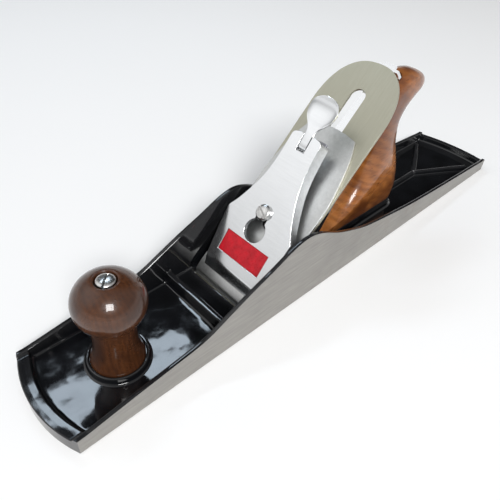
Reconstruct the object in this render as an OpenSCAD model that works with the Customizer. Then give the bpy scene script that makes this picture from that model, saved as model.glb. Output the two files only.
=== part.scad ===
// Iron fore plane: +X points to the toe, +Y to the left cheek, +Z up, and the
// sole lies on z = 0 with the origin under the middle of the body.

/* [Body] */
// Overall length over the rounded toe and heel
body_l = 457; // [450:1:465]
// Overall width across the two cheeks
body_w = 73; // [72.5:0.5:75]
// Thickness of the sole
sole_t = 4; // [3.5:0.1:4.2]
// Thickness of each cheek
cheek_t = 3.2; // [2.8:0.1:3.4]
// How far the toe bulges past its corners
toe_bulge = 8.5; // [6:0.5:10]
// How far the heel bulges past its corners
heel_bulge = 4.5; // [3:0.5:6]
// Height of the raised lips at toe and heel
lip_h = 10; // [8:0.5:10.5]
// Width of the flat band at the toe
toe_lip_w = 7.5; // [6:0.5:9]
// Width of the bead at the heel
heel_lip_w = 4.5; // [4:0.5:6]

/* [Mouth and bed] */
// Front edge of the mouth, measured from the middle of the body
mouth_x = 91.5; // [91:0.5:93]
// Length of the mouth across the sole
mouth_w = 62.6; // [62:0.1:63.4]
// Opening between the mouth's front edge and the cutting edge
mouth_gap = 1.6; // [1.5:0.1:2.5]

/* [Cutter] */
// Width of the cutter iron
iron_w = 60; // [58:0.5:60.5]
// Length of the cutter iron
iron_l = 192; // [188:1:196]
// Thickness of the cutter iron
iron_t = 2; // [1.8:0.1:2]
// Width of the long slot in the iron
slot_w = 11.2; // [11:0.1:11.6]
// Length of the cap iron
cap_iron_l = 140; // [138:1:142]

/* [Lever cap] */
// Length of the lever cap
cap_l = 113; // [112:0.5:114]
// Widest part of the lever cap
cap_w = 59; // [57:0.5:60]
// Width of the lever cap at its top end
cap_neck_w = 25; // [24:0.5:26]
// Diameter of the lever cap screw's head
cap_screw_d = 11; // [10:0.5:12]

/* [Handles] */
// Distance of the knob from the middle of the body
knob_x = 173.5; // [172:0.5:175]
// Diameter of the knob's ball
knob_d = 42.4; // [41:0.1:44]
// Thickness of the tote
tote_t = 26; // [24:0.5:27]

/* [Hidden] */
$fn = 64;
bed_a = 45;                     // angle of the bed above the sole
eps = 0.01;
far = 200;                      // long enough to cut right through anything
run_fit = 0.05;                 // radial clearance of a part that turns on another

// Places along the body
toe_r = (pow(body_w / 2, 2) + toe_bulge * toe_bulge) / (2 * toe_bulge);
heel_r = (pow(body_w / 2, 2) + heel_bulge * heel_bulge) / (2 * heel_bulge);
edge_x = mouth_x - mouth_gap;   // cutting edge
throat_slack = 0.75;            // between the iron's back and the rear of the mouth
rib_x = 113;                    // cross rib ahead of the mouth
rib_t = 4;
rib_h = 13;

// Places on the frog and its seat, all measured back from the cutting edge
seat_front_z = 7;
seat_rear_z = 14;
frog_w = 48;
web_t = 4;
plate_t = 6;                    // thickness of the frog's bed plate
bed_w = -iron_t - 0.03;         // the frog's bed, a hair below the iron's back
frog_step_x = edge_x - 27;
frog_screw_x = edge_x - 37;
frog_back_x = edge_x - 62.4;
frog_screw_y = 13;
frog_screw_r = 3;
frog_foot_t = 5;                // thickness of the frog's foot under the screws
washer_t = 1.6;
hole_floor = 1.5;               // bottom of the blind holes in the sole
frog_screw_l = seat_rear_z + frog_foot_t + washer_t - hole_floor;
frog_top_s = 112;               // slope distance of the frog's top from the edge
adjust_z = 9.5;                 // axis of the frog adjusting screw
adjust_r = 3;
adjust_reach = 20;              // how far the adjusting screw enters the seat
plate_w = 16;                   // fork plate of the adjusting screw
plate_gauge = 2.2;
plate_screw_z = 22;
plate_screw_r = 2;

// Places up the bed: s is the distance up the slope, w the height above the iron's face
cap_screw_s = 66;
iron_screw_s = 42;
yoke_s = 86.2;
yoke_pin_w = -12.66;
disc_s = 96;
rivet_s = 106;
rivet_r = 2.5;
disc_rivet_r = 1.6;
yoke_drop = 16;                 // from the yoke's pin down to the adjusting stud
pin_x = edge_x - yoke_s * cos(bed_a) + yoke_pin_w * sin(bed_a);
pin_z = yoke_s * sin(bed_a) + yoke_pin_w * cos(bed_a);
stud_z = pin_z - yoke_drop;
stud_r = 4;
yoke_pin_r = 2;
lateral_rest = 4;               // degrees that the lateral lever leans to the left

// Lever cap: its own frame starts at its lower end and is tilted above the bed
cap_s = 12;
cap_lift = 3.9;
cap_tilt = 8.6;
cap_plate_t = 3.2;
cap_wall = 3;
cap_wall_h = 8.5;               // depth of the side walls below the plate
keyhole_p = (cap_screw_s - cap_s) / cos(cap_tilt);
keyhole_drop = 13.4;            // from the screw's seat down to the large hole
seat_sink = 0.6;                // how far the screw's seat is sunk into the plate
// Under side of the lever cap screw's head above the iron's face
head_w = cap_lift + (cap_screw_s - cap_s) * tan(cap_tilt) + cap_plate_t / cos(cap_tilt) - seat_sink;
cam_p = 106;                    // cam pin, along the lever cap
cam_q = -0.8;                   // cam pin, above the lever cap's under side
cam_slot_w = 7;
cam_slot_p = 4.8;               // from the pin down to the end of the cam's slot
rivet_p = 73;                   // rivet of the cap spring
spring_rivet_r = 1.5;
cam_pin_r = 1.8;

// Handles
knob_ring_h = 8.5;
knob_seat_z = 6;
nut_z = 60;                     // under side of the knob's nut
boss_h = 11;
tote_front_x = 12;
tote_rear_x = -101;
rod_r = 3;
tote_rod_x = -91;
tote_rod_z = 2.2;
tote_rod_tilt = 11.8;
tote_rod_l = 112;
toe_screw_x = 1;
toe_screw_r = 2.5;

// Catmull-Rom curve through a list of points, n steps a span
function blend_point(a, b, c, d, t) =
    0.5 * (2 * b + (c - a) * t + (2 * a - 5 * b + 4 * c - d) * t * t + (3 * b - a - 3 * c + d) * t * t * t);
function curve(p, n) = concat(
    [for (i = [0 : len(p) - 2], k = [0 : n - 1])
        blend_point(p[max(i - 1, 0)], p[i], p[i + 1], p[min(i + 2, len(p) - 1)], k / n)],
    [p[len(p) - 1]]);
function mirrored(p) = concat(p, [for (i = [len(p) - 1 : -1 : 0]) [p[i][0], -p[i][1]]]);

// A point of the slope in the body's side view
function slope(s, w) = [edge_x - s * cos(bed_a) + w * sin(bed_a), s * sin(bed_a) + w * cos(bed_a)];
// Where a plane w above the iron's face meets the height z
function slope_x(z, w) = edge_x + (w - z * cos(bed_a)) / sin(bed_a);

// Slope frame: local X runs up the bed, local Z stands off it, local Y points to the right cheek
module on_bed() {
    translate([edge_x, 0, 0]) rotate([0, bed_a, 0]) rotate([0, 0, 180]) children();
}

// Lever cap frame: local X runs up the cap, local Z off its face
module on_cap() {
    on_bed() translate([cap_s, 0, cap_lift]) rotate([0, -cap_tilt, 0]) children();
}

// A side view in X and Z, as thick as w and centred on the middle plane
module side_plate(points, w, y = 0) {
    translate([0, y + w / 2, 0]) rotate([90, 0, 0]) linear_extrude(w) polygon(points);
}

module ring(ro, ri, h) {
    difference() {
        cylinder(r = ro, h = h);
        translate([0, 0, -eps]) cylinder(r = ri, h = h + 2 * eps);
    }
}

// A slotted screw head whose top faces +Z
module slotted_head(r, h, slot) {
    difference() {
        union() {
            cylinder(r = r, h = h * 0.7);
            translate([0, 0, h * 0.7]) cylinder(r1 = r, r2 = r * 0.72, h = h * 0.3);
        }
        translate([-r - 1, -slot / 2, h * 0.55]) cube([2 * r + 2, slot, h]);
    }
}

// ---- Body casting ----
module body_outline() {
    heel_corner = heel_bulge - body_l / 2;
    toe_corner = body_l / 2 - toe_bulge;
    translate([heel_corner, -body_w / 2]) square([toe_corner - heel_corner, body_w]);
    intersection() {
        translate([body_l / 2 - toe_r, 0]) circle(r = toe_r, $fn = 180);
        translate([toe_corner - 1, -body_w / 2]) square([toe_bulge + 2, body_w]);
    }
    intersection() {
        translate([heel_r - body_l / 2, 0]) circle(r = heel_r, $fn = 180);
        translate([-body_l / 2 - 1, -body_w / 2]) square([heel_bulge + 2, body_w]);
    }
}

// Top edge of the cheeks from toe to heel, in X and Z
cheek_curve = [[215, 12], [186, 16.2], [160, 19.5], [135, 23.2], [117, 31], [99, 39.2],
    [80, 47], [64, 54.2], [50, 57.3], [36, 54], [15, 43.5], [-3, 36.5], [-21, 31], [-49, 26.3], [-91, 20.5],
    [-149, 16], [-219, 11.5]];

module cheeks() {
    top = concat([[body_l / 2 + 1, 0], [body_l / 2 + 1, 11.5]], curve(cheek_curve, 4),
        [[-body_l / 2 - 1, 11.3], [-body_l / 2 - 1, 0]]);
    intersection() {
        linear_extrude(80) body_outline();
        for (side = [-1, 1]) side_plate(top, cheek_t, side * (body_w - cheek_t) / 2);
    }
}

module lips() {
    linear_extrude(lip_h) intersection() {
        body_outline();
        union() {
            difference() {
                translate([body_l / 2 - 30, -body_w / 2]) square([30, body_w]);
                translate([body_l / 2 - toe_r - toe_lip_w, 0]) circle(r = toe_r, $fn = 180);
            }
            difference() {
                translate([-body_l / 2, -body_w / 2]) square([30, body_w]);
                translate([heel_r - body_l / 2 + heel_lip_w, 0]) circle(r = heel_r, $fn = 180);
            }
        }
    }
}

module frog_seat() {
    front = slope_x(seat_front_z, -iron_t - throat_slack);
    side_plate([[front + seat_front_z - sole_t + eps, sole_t - eps], [front, seat_front_z],
        [frog_step_x + 1.5, seat_front_z], [frog_step_x - 2, sole_t - eps]], frog_w + 2);
    for (side = [-1, 1])
        translate([frog_back_x + 4, side * frog_screw_y - 7.5, sole_t - eps])
            cube([frog_step_x - frog_back_x - 6, 15, seat_rear_z - sole_t + eps]);
    translate([frog_back_x + 4, -7, sole_t - eps]) cube([22, 14, seat_rear_z - sole_t + eps]);
}

module heel_ribs() {
    junction = [-156, 0];
    rib_top = sole_t + 3.5;
    translate([junction[0], -2, sole_t - eps])
        cube([tote_rear_x - junction[0], 4, rib_top - sole_t]);
    for (side = [-1, 1])
        translate([junction[0], 0, sole_t - eps])
            rotate([0, 0, 180 - side * atan(28 / 53)])
                translate([-1.5, -2, 0]) cube([61.5, 4, rib_top - sole_t]);
    translate([junction[0], 0, sole_t - eps]) cylinder(r = 2.6, h = rib_top - sole_t);
}

module tote_boss() {
    hull() {
        translate([tote_front_x - 13, 0, sole_t - eps]) cylinder(r = 13, h = boss_h - sole_t, $fn = 32);
        translate([tote_rear_x + 12, 0, sole_t - eps]) cylinder(r = 13, h = boss_h - sole_t, $fn = 32);
    }
}

module body_casting() {
    color([0.16, 0.16, 0.17]) difference() {
        union() {
            linear_extrude(sole_t) body_outline();
            cheeks();
            lips();
            translate([rib_x - rib_t, -body_w / 2 + 1, sole_t - eps])
                cube([rib_t, body_w - 2, rib_h - sole_t]);
            frog_seat();
            translate([knob_x, 0, sole_t - eps]) cylinder(r = 19, h = knob_ring_h - sole_t);
            tote_boss();
            heel_ribs();
        }
        mouth_cut();
        translate([knob_x, 0, knob_seat_z]) cylinder(r = 17.1, h = far);
        translate([knob_x, 0, hole_floor]) cylinder(r = rod_r, h = far);
        on_tote_rod() cylinder(r = rod_r, h = far);
        translate([toe_screw_x, 0, hole_floor]) cylinder(r = toe_screw_r, h = far);
        for (side = [-1, 1])
            translate([frog_screw_x, side * frog_screw_y, hole_floor]) cylinder(r = frog_screw_r, h = far);
        translate([frog_back_x, 0, adjust_z]) rotate([0, 90, 0])
            cylinder(r = adjust_r + run_fit, h = adjust_reach + 2);
    }
}

// The mouth: upright in front, and sloped along the iron's back behind
module mouth_cut() {
    back = -iron_t - throat_slack;
    top = seat_front_z + 6;
    side_plate([[mouth_x, -1], [mouth_x, sole_t + 1], [mouth_x, sole_t + 2], [slope_x(top, back), top],
        [slope_x(-1, back), -1]], mouth_w);
}

// ---- Front knob ----
// Radius and height of the turned foot and waist
knob_curve = [[16.6, 0], [16.8, 1.8], [16.2, 4], [14.8, 8], [13.6, 13], [13.2, 19], [13.3, 26], [14.2, 33]];

module front_knob() {
    ball_r = knob_d / 2;
    ball_rise = 18;             // half the height of the flattened ball
    ball_z = 48.6;
    first = -44;                // the ball starts at this latitude and ends in a small flat
    last = 68;
    ball = [for (i = [0 : 18]) let (a = first + (last - first) * i / 18)
        [ball_r * cos(a), ball_z + ball_rise * sin(a)]];
    outline = concat([[0, 0]], curve(knob_curve, 3), ball, [[0, ball[len(ball) - 1][1]]]);
    color([0.32, 0.16, 0.08]) translate([knob_x, 0, knob_seat_z]) difference() {
        rotate_extrude() polygon(outline);
        translate([0, 0, -1]) cylinder(r = rod_r + 0.5, h = far);
        translate([0, 0, nut_z - knob_seat_z]) cylinder(r = 6.3, h = far);
    }
}

module knob_rod() {
    color("silver") translate([knob_x, 0, hole_floor]) cylinder(r = rod_r, h = nut_z + 2 - hole_floor);
}

module knob_nut() {
    color("silver") translate([knob_x, 0, nut_z]) difference() {
        union() {
            cylinder(r = 4.7, h = 8);
            translate([0, 0, 8]) slotted_head(5.6, 3.6, 1.4);
        }
        translate([0, 0, -1]) cylinder(r = rod_r, h = 3);
    }
}

// ---- Rear tote ----
module on_tote_rod() {
    translate([tote_rod_x, 0, tote_rod_z]) rotate([0, tote_rod_tilt, 0]) children();
}

// Side view of the tote, from the tip of its toe over the top to its heel
tote_curve = [[tote_front_x, 14], [tote_front_x - 4, 17.5], [-6, 18.5], [-20, 22], [-35, 31], [-46, 43],
    [-52, 56], [-53, 68], [-49.5, 80], [-46, 90], [-44, 101], [-46, 109], [-51, 116], [-60, 121.2],
    [-72, 124.6], [-85, 125], [-97, 121], [-108.5, 113], [-107.2, 109.2], [-97, 104.2], [-86.5, 97],
    [-82, 87], [-84, 76], [-89, 64], [-96, 50], [-102, 36], [-104.5, 24], [tote_rear_x - 1, 14]];
tote_outline = curve(tote_curve, 3);
tote_top = [for (i = [len(tote_outline) - 1 : -1 : 0]) tote_outline[i]];

module rear_tote() {
    color([0.5, 0.26, 0.12]) difference() {
        side_plate(concat([[tote_rear_x, boss_h]], tote_top, [[tote_front_x, boss_h]]), tote_t);
        on_tote_rod() cylinder(r = rod_r + 0.5, h = far);
        on_tote_rod() translate([0, 0, tote_rod_l]) cylinder(r = 7.4, h = far);
        translate([toe_screw_x, 0, 0]) cylinder(r = 2.8, h = far);
        translate([toe_screw_x, 0, 15.4]) cylinder(r = 5.4, h = far);
    }
}

module tote_rod() {
    color("silver") on_tote_rod() cylinder(r = rod_r, h = tote_rod_l + 4);
}

module tote_nut() {
    color("silver") on_tote_rod() translate([0, 0, tote_rod_l]) difference() {
        slotted_head(7, 8, 1.8);
        translate([0, 0, -1]) cylinder(r = rod_r, h = 5);
    }
}

module tote_toe_screw() {
    color("silver") translate([toe_screw_x, 0, hole_floor]) {
        cylinder(r = toe_screw_r, h = 13.9 + eps);
        translate([0, 0, 13.9]) slotted_head(4.6, 2.6, 1.2);
    }
}

// ---- Frog ----
module frog() {
    bed_top = slope(frog_top_s, bed_w);
    heel_top = slope(frog_top_s, bed_w - plate_t);
    side_view = [[slope_x(seat_front_z, bed_w - 1), seat_front_z], [frog_step_x, seat_front_z],
        [frog_step_x, seat_rear_z], [frog_back_x, seat_rear_z], [frog_back_x, 30],
        slope(frog_top_s - 1, bed_w - 10), slope(frog_top_s - 1, bed_w - 1)];
    foot_x = slope_x(seat_front_z, bed_w);
    foot_top = 13;
    color([0.16, 0.16, 0.17]) difference() {
        union() {
            side_plate([[foot_x, seat_front_z], [slope_x(seat_front_z, bed_w - plate_t), seat_front_z],
                heel_top, bed_top], frog_w);
            for (side = [-1, 1]) side_plate(side_view, web_t, side * (frog_w - web_t) / 2);
            // Front foot, from the step up to the bed plate
            side_plate([[frog_step_x, seat_front_z], [foot_x - 2, seat_front_z], [foot_x - 8, foot_top],
                [frog_step_x, foot_top]], frog_w - web_t);
            translate([frog_back_x, -frog_w / 2, seat_rear_z])
                cube([frog_step_x - frog_back_x + 3, frog_w, frog_foot_t]);
            translate([frog_back_x, -frog_w / 2, seat_rear_z]) cube([4, frog_w, 14]);
            translate([frog_back_x - 0.9, 0, stud_z]) rotate([0, 90, 0]) cylinder(r = 7.5, h = 17);
            for (side = [-1, 1])
                on_bed() translate([yoke_s - 5, side * 10.6 - 1.5, yoke_pin_w - 4.4])
                    cube([10, 3, bed_w - plate_t - yoke_pin_w + 4.5]);
        }
        frog_holes();
    }
}

module frog_holes() {
    // Recess over the two seat screws, between the bearing strips of the bed
    on_bed() translate([28, -frog_w / 2 + web_t + 1, bed_w - plate_t - 0.5])
        cube([30, frog_w - 2 * web_t - 2, far]);
    for (side = [-1, 1])
        for (dx = [-2, 2])
            translate([frog_screw_x + dx, side * frog_screw_y, 0]) cylinder(r = 3.4, h = seat_rear_z + 6);
    for (side = [-1, 1])
        translate([frog_screw_x - 2, side * frog_screw_y - 3.4, 0]) cube([4, 6.8, seat_rear_z + 6]);
    // Tapped holes of the lever cap screw, the stud and the fork plate's screw
    on_bed() translate([cap_screw_s, 0, -9]) cylinder(r = 4, h = far);
    translate([0, 0, stud_z]) rotate([0, 90, 0]) cylinder(r = stud_r, h = frog_back_x + 7.5);
    translate([frog_back_x - 1, 0, plate_screw_z]) rotate([0, 90, 0]) cylinder(r = plate_screw_r, h = 8);
    // Window of the yoke, its pin's bore, and the recess and bore of the lateral lever
    on_bed() translate([yoke_s - 4.2, -4.8, -far / 2]) cube([8.4, 9.6, far]);
    on_bed() translate([yoke_s, 0, yoke_pin_w]) rotate([90, 0, 0])
        cylinder(r = yoke_pin_r, h = frog_w, center = true);
    on_bed() translate([disc_s - 6.6, -9, -iron_t - 2.4]) cube([far, 18, far]);
    on_bed() translate([rivet_s, 0, -far / 2]) cylinder(r = rivet_r, h = far);
}

module frog_screws() {
    color("silver") for (side = [-1, 1])
        translate([frog_screw_x, side * frog_screw_y, hole_floor]) {
            cylinder(r = frog_screw_r, h = frog_screw_l);
            translate([0, 0, frog_screw_l]) slotted_head(5, 4.4, 1.4);
        }
}

module frog_washers() {
    color("silver") for (side = [-1, 1])
        translate([frog_screw_x, side * frog_screw_y, seat_rear_z + frog_foot_t])
            ring(6.6, frog_screw_r, washer_t);
}

// ---- Frog adjustment ----
module frog_adjust_screw() {
    color("silver") translate([frog_back_x, 0, adjust_z]) rotate([0, -90, 0]) {
        translate([0, 0, -adjust_reach]) cylinder(r = adjust_r, h = adjust_reach + 0.1);
        translate([0, 0, -1.8]) cylinder(r = 4.4, h = 1.7);
        cylinder(r = adjust_r, h = 2.4);
        translate([0, 0, 2.35]) slotted_head(5, 5, 1.4);
    }
}

module frog_adjust_plate() {
    color([0.45, 0.45, 0.47]) difference() {
        translate([frog_back_x - plate_gauge, -plate_w / 2, 5.5]) cube([plate_gauge, plate_w, 20.8]);
        translate([frog_back_x - 3, -adjust_r - run_fit, 0]) cube([4, 2 * (adjust_r + run_fit), adjust_z]);
        translate([frog_back_x - 3, 0, adjust_z]) rotate([0, 90, 0]) cylinder(r = adjust_r + run_fit, h = 4);
        translate([frog_back_x - 3, 0, plate_screw_z]) rotate([0, 90, 0]) cylinder(r = plate_screw_r, h = 4);
    }
}

module frog_plate_screw() {
    color("silver") translate([frog_back_x - plate_gauge, 0, plate_screw_z]) rotate([0, -90, 0]) {
        translate([0, 0, -8]) cylinder(r = plate_screw_r, h = 8.05);
        slotted_head(3.6, 2.4, 1);
    }
}

// ---- Depth adjustment ----
module yoke() {
    hub_r = 3.9;
    half = 8.7;
    color([0.3, 0.3, 0.31]) difference() {
        union() {
            translate([pin_x, half, pin_z]) rotate([90, 0, 0]) cylinder(r = hub_r, h = 2 * half);
            // Finger that reaches through the frog and the iron into the cap iron
            on_bed() translate([yoke_s - 1.6, -4, yoke_pin_w]) cube([3.2, 8, 1 - yoke_pin_w]);
            on_bed() translate([yoke_s, 4, 1]) rotate([90, 0, 0]) cylinder(r = 2, h = 8);
            // Fork that straddles the hub of the depth nut
            for (side = [-1, 1]) {
                translate([pin_x - 1.8, side * 7.2 - 1.5, stud_z]) cube([3.6, 3, yoke_drop]);
                translate([pin_x, side * 7.2 + 1.5, stud_z]) rotate([90, 0, 0]) cylinder(r = 2, h = 3);
            }
        }
        translate([pin_x, 20, pin_z]) rotate([90, 0, 0]) cylinder(r = yoke_pin_r + run_fit, h = 40);
    }
}

module yoke_pin() {
    color("silver") translate([pin_x, 12.1, pin_z]) rotate([90, 0, 0]) cylinder(r = yoke_pin_r, h = 24.2);
}

module depth_stud() {
    color("silver") translate([5, 0, stud_z]) rotate([0, 90, 0]) cylinder(r = stud_r, h = frog_back_x + 2.4);
}

// The wheel turns on the stud, and the yoke's fork rides in the groove of its hub
nut_front_x = pin_x + 6;
module depth_nut() {
    wheel_x = 8.6;
    rim_w = 6.6;
    color([0.72, 0.55, 0.25]) translate([0, 0, stud_z]) rotate([0, 90, 0]) difference() {
        union() {
            translate([0, 0, wheel_x]) cylinder(r = 15.2, h = rim_w);
            for (i = [0 : 35]) rotate([0, 0, i * 10])
                translate([15, 0, wheel_x + 0.6]) cylinder(r = 0.8, h = rim_w - 1.2, $fn = 8);
            translate([0, 0, wheel_x]) cylinder(r = 8, h = pin_x - 2.7 - wheel_x);
            translate([0, 0, wheel_x]) cylinder(r = 5.5, h = nut_front_x - wheel_x);
            translate([0, 0, nut_front_x - 1.8]) cylinder(r = 8, h = 1.8);
        }
        cylinder(r = stud_r + run_fit, h = far);
        translate([0, 0, wheel_x - 1]) cylinder(r1 = 11.8, r2 = 9.6, h = 2.6);
    }
}

// ---- Lateral adjustment ----
module on_lateral() {
    on_bed() translate([rivet_s, 0, 0]) rotate([0, 0, -lateral_rest]) children();
}

module lateral_lever() {
    low = -iron_t - 2.3;
    color("silver") on_lateral() difference() {
        union() {
            translate([disc_s - rivet_s, 0, low]) cylinder(r = 4.6, h = 2);
            translate([disc_s - rivet_s, -4.5, low]) cube([191.5 - disc_s, 9, 2]);
            translate([85.5, -8, -10]) cube([2, 16, 10 - iron_t - 0.3]);
            translate([85.5, -4.5, low]) cube([4.2, 9, 2]);
        }
        translate([0, 0, -far / 2]) cylinder(r = rivet_r + run_fit, h = far);
        translate([disc_s - rivet_s, 0, -far / 2]) cylinder(r = disc_rivet_r, h = far);
    }
}

module lateral_rivet() {
    color("silver") on_bed() translate([rivet_s, 0, 0]) {
        translate([0, 0, bed_w - plate_t - 1]) cylinder(r = rivet_r, h = plate_t + 1);
        translate([0, 0, bed_w - plate_t - 1]) cylinder(r = 4, h = 1);
        translate([0, 0, -iron_t - 0.25]) cylinder(r = 3.6, h = 0.95);
    }
}

module lateral_disc() {
    color("silver") on_lateral() translate([disc_s - rivet_s, 0, -iron_t - 0.3]) ring(4.3, disc_rivet_r, 1.9);
}

module disc_rivet() {
    color("silver") on_lateral() translate([disc_s - rivet_s, 0, -iron_t - 2.3])
        cylinder(r = disc_rivet_r, h = 3.9);
}

// ---- Cutter ----
// The iron's rounded top is a superellipse that starts at its shoulders
round_l = 42.6;
round_n = 2.4;
shoulder_s = iron_l - round_l;
top_steps = 14;
top_curve = [for (i = [0 : top_steps]) let (a = sin(90 * i / top_steps))
    [shoulder_s + round_l * a, i == top_steps ? 0 : iron_w / 2 * pow(1 - pow(a, round_n), 1 / round_n)]];
slot_low_s = 42;
slot_high_s = iron_l - 26;
grind = 0.12;                   // flat left at the cutting edge

module cutter_iron() {
    bevel_s = grind + iron_t / tan(25);
    color([0.66, 0.66, 0.6]) on_bed() difference() {
        translate([0, 0, -iron_t]) linear_extrude(iron_t)
            polygon(mirrored(concat([[grind, iron_w / 2]], top_curve)));
        // Grinding bevel on the under side
        rotate([90, 0, 0]) translate([0, 0, -far / 2]) linear_extrude(far)
            polygon([[grind, 0], [-1, 0], [-1, -iron_t - 1], [bevel_s + 1 / tan(25), -iron_t - 1],
                [bevel_s, -iron_t]]);
        for (s = [slot_low_s, slot_high_s]) translate([s, 0, -far / 2]) cylinder(r = slot_w / 2, h = far);
        translate([slot_low_s, -slot_w / 2, -far / 2]) cube([slot_high_s - slot_low_s, slot_w, far]);
    }
}

// Under side of the cap iron's springy front, up to where it lies on the iron
cap_iron_side = [[1.6, 0.05], [5, 1.1], [10, 1.7], [16, 1.5], [22, 0.7], [28, 0]];
taper_s = 88;                   // the cap iron narrows from here to its top
function cap_iron_half(s) = iron_w / 2 - 9 * pow((s - taper_s) / (cap_iron_l - taper_s - 4), 1.6);

module cap_iron() {
    t = 2;
    bottom = curve(cap_iron_side, 4);
    side = concat(bottom, [[cap_iron_l, 0], [cap_iron_l, t]],
        [for (i = [len(bottom) - 1 : -1 : 1]) bottom[i] + [0, t]], [[1.6, 0.3]]);
    edge = [for (s = [taper_s : 6 : cap_iron_l - 8]) [s, cap_iron_half(s)]];
    color([0.75, 0.75, 0.75]) on_bed() difference() {
        intersection() {
            side_plate(side, iron_w);
            translate([0, 0, -1]) linear_extrude(20) polygon(mirrored(concat([[0, iron_w / 2]], edge,
                [[cap_iron_l - 2.5, 19], [cap_iron_l - 0.6, 10], [cap_iron_l, 0]])));
        }
        translate([iron_screw_s, 0, -1]) cylinder(r = 4, h = 9);
        for (dx = [-3, 3]) translate([cap_screw_s + dx, 0, -1]) cylinder(r = 6, h = 9);
        translate([cap_screw_s - 3, -6, -1]) cube([6, 12, 9]);
        translate([yoke_s - 2.1, -5, -1]) cube([4.2, 10, 9]);
    }
}

module cap_iron_screw() {
    color("silver") on_bed() translate([iron_screw_s, 0, 2]) mirror([0, 0, 1]) {
        cylinder(r = 4, h = 2 + iron_t + 0.05);
        translate([0, 0, 2 + iron_t]) slotted_head(7.5, 2.6, 1.6);
    }
}

// ---- Lever cap ----
cap_half = cap_w / 2;
neck_half = cap_neck_w / 2;
// Half of the lever cap's outline, from its lower edge to its top
cap_edge = [[0, cap_half - 4.5], [12, cap_half - 3.2], [30, cap_half - 1.2], [46, cap_half],
    [48.5, cap_half - 1.5], [53, cap_half - 4.3], [60, cap_half - 7.7], [68, cap_half - 11.1],
    [76, neck_half + 3.2], [84, neck_half + 1.5], [94, neck_half + 0.3], [cap_l - 2.6, neck_half - 0.4],
    [cap_l - 0.9, neck_half - 2.3], [cap_l, neck_half - 6.5]];

module lever_cap() {
    color([0.9, 0.9, 0.9]) on_cap() difference() {
        union() {
            // Plate, thinned down to its lower edge
            intersection() {
                linear_extrude(cap_plate_t) polygon(mirrored(cap_edge));
                side_plate([[0, 0], [0, 1.2], [7, cap_plate_t], [cap_l, cap_plate_t], [cap_l, 0]], cap_w);
            }
            // Side walls, deeper where the cap rises off the cap iron
            intersection() {
                difference() {
                    translate([0, 0, -cap_wall_h]) linear_extrude(cap_wall_h + 1) polygon(mirrored(cap_edge));
                    translate([0, 0, -cap_wall_h - 1]) linear_extrude(cap_wall_h + 1)
                        polygon(mirrored([for (p = cap_edge) [p[0], p[1] - cap_wall]]));
                }
                side_plate([[22, 0.5], [22, -0.4], [66, -cap_wall_h + 1], [90, -cap_wall_h],
                    [cap_l, -cap_wall_h], [cap_l, 0.5]], cap_w);
            }
            // Lugs of the cam's pin
            for (side = [-1, 1])
                translate([cam_p - 4.5, side * 6.95 - 2.95, -cap_wall_h]) cube([9, 5.9, cap_wall_h + 1]);
        }
        keyhole();
        translate([cam_p - cam_slot_p, -cam_slot_w / 2, -far / 2]) cube([far, cam_slot_w, far]);
        translate([cam_p, 20, cam_q]) rotate([90, 0, 0]) cylinder(r = cam_pin_r, h = 40);
        badge_recess();
        translate([rivet_p, 0, -10]) cylinder(r = spring_rivet_r, h = 11.8);
    }
}

module keyhole() {
    translate([keyhole_p, 0, -far / 2]) cylinder(r = 4.6, h = far);
    translate([keyhole_p - keyhole_drop, -4.6, -far / 2]) cube([keyhole_drop, 9.2, far]);
    translate([keyhole_p - keyhole_drop, 0, -far / 2]) cylinder(r = 8.4, h = far);
    // Flat seat of the screw's head, open towards the large hole
    seat_r = cap_screw_d / 2 + 1;
    rotate([0, cap_tilt, 0]) translate([keyhole_p * cos(cap_tilt), 0, head_w - 0.1 - cap_lift]) {
        cylinder(r = seat_r, h = far);
        translate([-keyhole_drop, -seat_r, 0]) cube([keyhole_drop, 2 * seat_r, far]);
    }
}

module badge_recess() {
    translate([16, -19.5, cap_plate_t - 1.1]) cube([16, 39, far]);
}

// A plain coloured panel, sunk in its recess
module badge_panel() {
    color([0.8, 0.1, 0.15]) on_cap() intersection() {
        badge_recess();
        translate([0, -far / 2, 0]) cube([far, far, cap_plate_t - 0.25]);
    }
}

module lever_cap_screw() {
    color("silver") on_bed() translate([cap_screw_s, 0, 0]) {
        translate([0, 0, -9]) cylinder(r = 4, h = head_w + 9 + eps);
        translate([0, 0, head_w]) slotted_head(cap_screw_d / 2, 4, 1.5);
    }
}

// ---- Cam ----
// Half of the cam lever's spoon, from its neck to its tip
cam_paddle = [[9, 3], [12.5, 4.6], [16, 8], [21, 10.4], [27, 10.8], [31, 8.8], [33, 5], [33.6, 0]];

module cam_lever() {
    w = cam_slot_w - 0.8;
    color([0.88, 0.88, 0.88]) on_cap() translate([cam_p, 0, cam_q]) difference() {
        union() {
            rotate([90, 0, 0]) cylinder(r = 3.6, h = w, center = true);
            translate([0.4, 0, 0.5]) rotate([90, 0, 0]) cylinder(r = 3.4, h = w, center = true);
            side_plate([[-3.4, 0], [-3.4, 2.4], [-2.4, 3.6], [11, 4.4], [11, 1.4], [5, 0], [3, -1]], w);
            translate([0, 0, 1.4]) linear_extrude(3) polygon(mirrored(curve(cam_paddle, 3)));
        }
        rotate([90, 0, 0]) cylinder(r = cam_pin_r + run_fit, h = 40, center = true);
    }
}

module cam_pin() {
    color("silver") on_cap() translate([cam_p, neck_half - 0.8, cam_q]) rotate([90, 0, 0])
        cylinder(r = cam_pin_r, h = 2 * neck_half - 1.6);
}

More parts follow.
